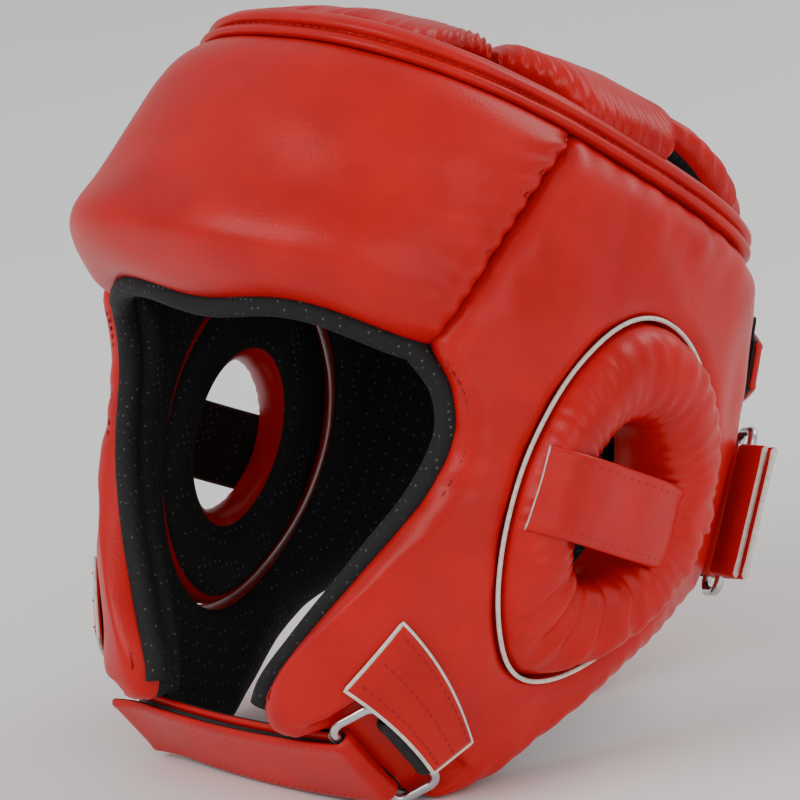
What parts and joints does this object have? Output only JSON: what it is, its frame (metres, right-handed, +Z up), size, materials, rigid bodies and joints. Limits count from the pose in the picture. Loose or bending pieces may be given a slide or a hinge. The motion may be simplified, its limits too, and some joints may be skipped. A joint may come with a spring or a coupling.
{
  "type": "boxing headgear",
  "caption": "Padded open-face boxing headgear with wide forehead, cheek panels, strapped ear pads, vented crown pads, a neck roll and hook-and-loop chin and rear straps.",
  "frame": {"origin": "centre of the bounding box at the standing surface", "axes": "+Z up, -Y to the front of the face opening, +X to the wearer's left"},
  "size_m": [0.2114, 0.219, 0.2445],
  "materials": {
    "leatherette": "soft satin grained leatherette",
    "foam": "closed-cell foam",
    "mesh_lining": "spacer mesh",
    "hook_and_loop": "brushed nylon pile",
    "webbing": "woven webbing",
    "nickel": "nickel plated steel wire"
  },
  "bodies": {
    "shell": {"forehead_cover": "leatherette", "forehead_foam": "foam", "forehead_lining": "mesh_lining", "side_cover_left": "leatherette", "side_foam_left": "foam", "side_lining_left": "mesh_lining", "side_cover_right": "leatherette", "side_foam_right": "foam", "side_lining_right": "mesh_lining", "opening_binding": "mesh_lining", "top_band": "leatherette", "crown_front_cover": "leatherette", "crown_front_foam": "foam", "crown_left_cover": "leatherette", "crown_left_foam": "foam", "crown_right_cover": "leatherette", "crown_right_foam": "foam", "crown_rear_cover": "leatherette", "crown_rear_foam": "foam", "crown_patch": "leatherette", "ear_pad_cover_left": "leatherette", "ear_pad_foam_left": "foam", "ear_pad_lining_left": "mesh_lining", "ear_pad_cover_right": "leatherette", "ear_pad_foam_right": "foam", "ear_pad_lining_right": "mesh_lining", "ear_strap_left": "leatherette", "ear_strap_right": "leatherette", "neck_tongue": "mesh_lining", "neck_roll": "leatherette", "chin_tab_left": "leatherette", "chin_loop": "webbing", "chin_patch_right": "leatherette", "chin_strap_run": "leatherette", "chin_loop_tape": "hook_and_loop", "rear_anchor_loop": "leatherette", "rear_strap_run": "leatherette", "rear_loop_tape": "hook_and_loop", "upper_strap_root": "leatherette", "upper_loop_tape": "hook_and_loop"},
    "chin_ring": {"chin_ring": "nickel"},
    "chin_flap": {"chin_flap": "leatherette", "chin_hook_tape": "hook_and_loop"},
    "rear_ring": {"rear_ring": "nickel"},
    "rear_flap": {"rear_flap": "leatherette", "rear_hook_tape": "hook_and_loop"},
    "upper_strap": {"upper_strap": "leatherette", "upper_hook_tape": "hook_and_loop"}
  },
  "joints": [
    {"name": "chin_ring_swing", "type": "hinge", "parent": "shell", "child": "chin_ring", "pos_m": [0.06161, -0.08236, 0.02347], "axis": [0, -0.6185, 0.7858], "range_deg": [0, 18]},
    {"name": "chin_flap_peel", "type": "hinge", "parent": "chin_ring", "child": "chin_flap", "pos_m": [0.0503, -0.09126, 0.01647], "axis": [0, -0.6185, 0.7858], "range_deg": [0, 150]},
    {"name": "rear_ring_swing", "type": "hinge", "parent": "shell", "child": "rear_ring", "pos_m": [0.06955, 0.06508, 0.06149], "axis": [0, -0.4384, -0.8988], "range_deg": [0, 25]},
    {"name": "rear_flap_peel", "type": "hinge", "parent": "rear_ring", "child": "rear_flap", "pos_m": [0.057, 0.07247, 0.05789], "axis": [0, -0.4384, -0.8988], "range_deg": [0, 140]},
    {"name": "upper_strap_peel", "type": "hinge", "parent": "shell", "child": "upper_strap", "pos_m": [-0.05, 0.09484, 0.10038], "axis": [0, 0.4384, 0.8988], "range_deg": [0, 75]}
  ]
}
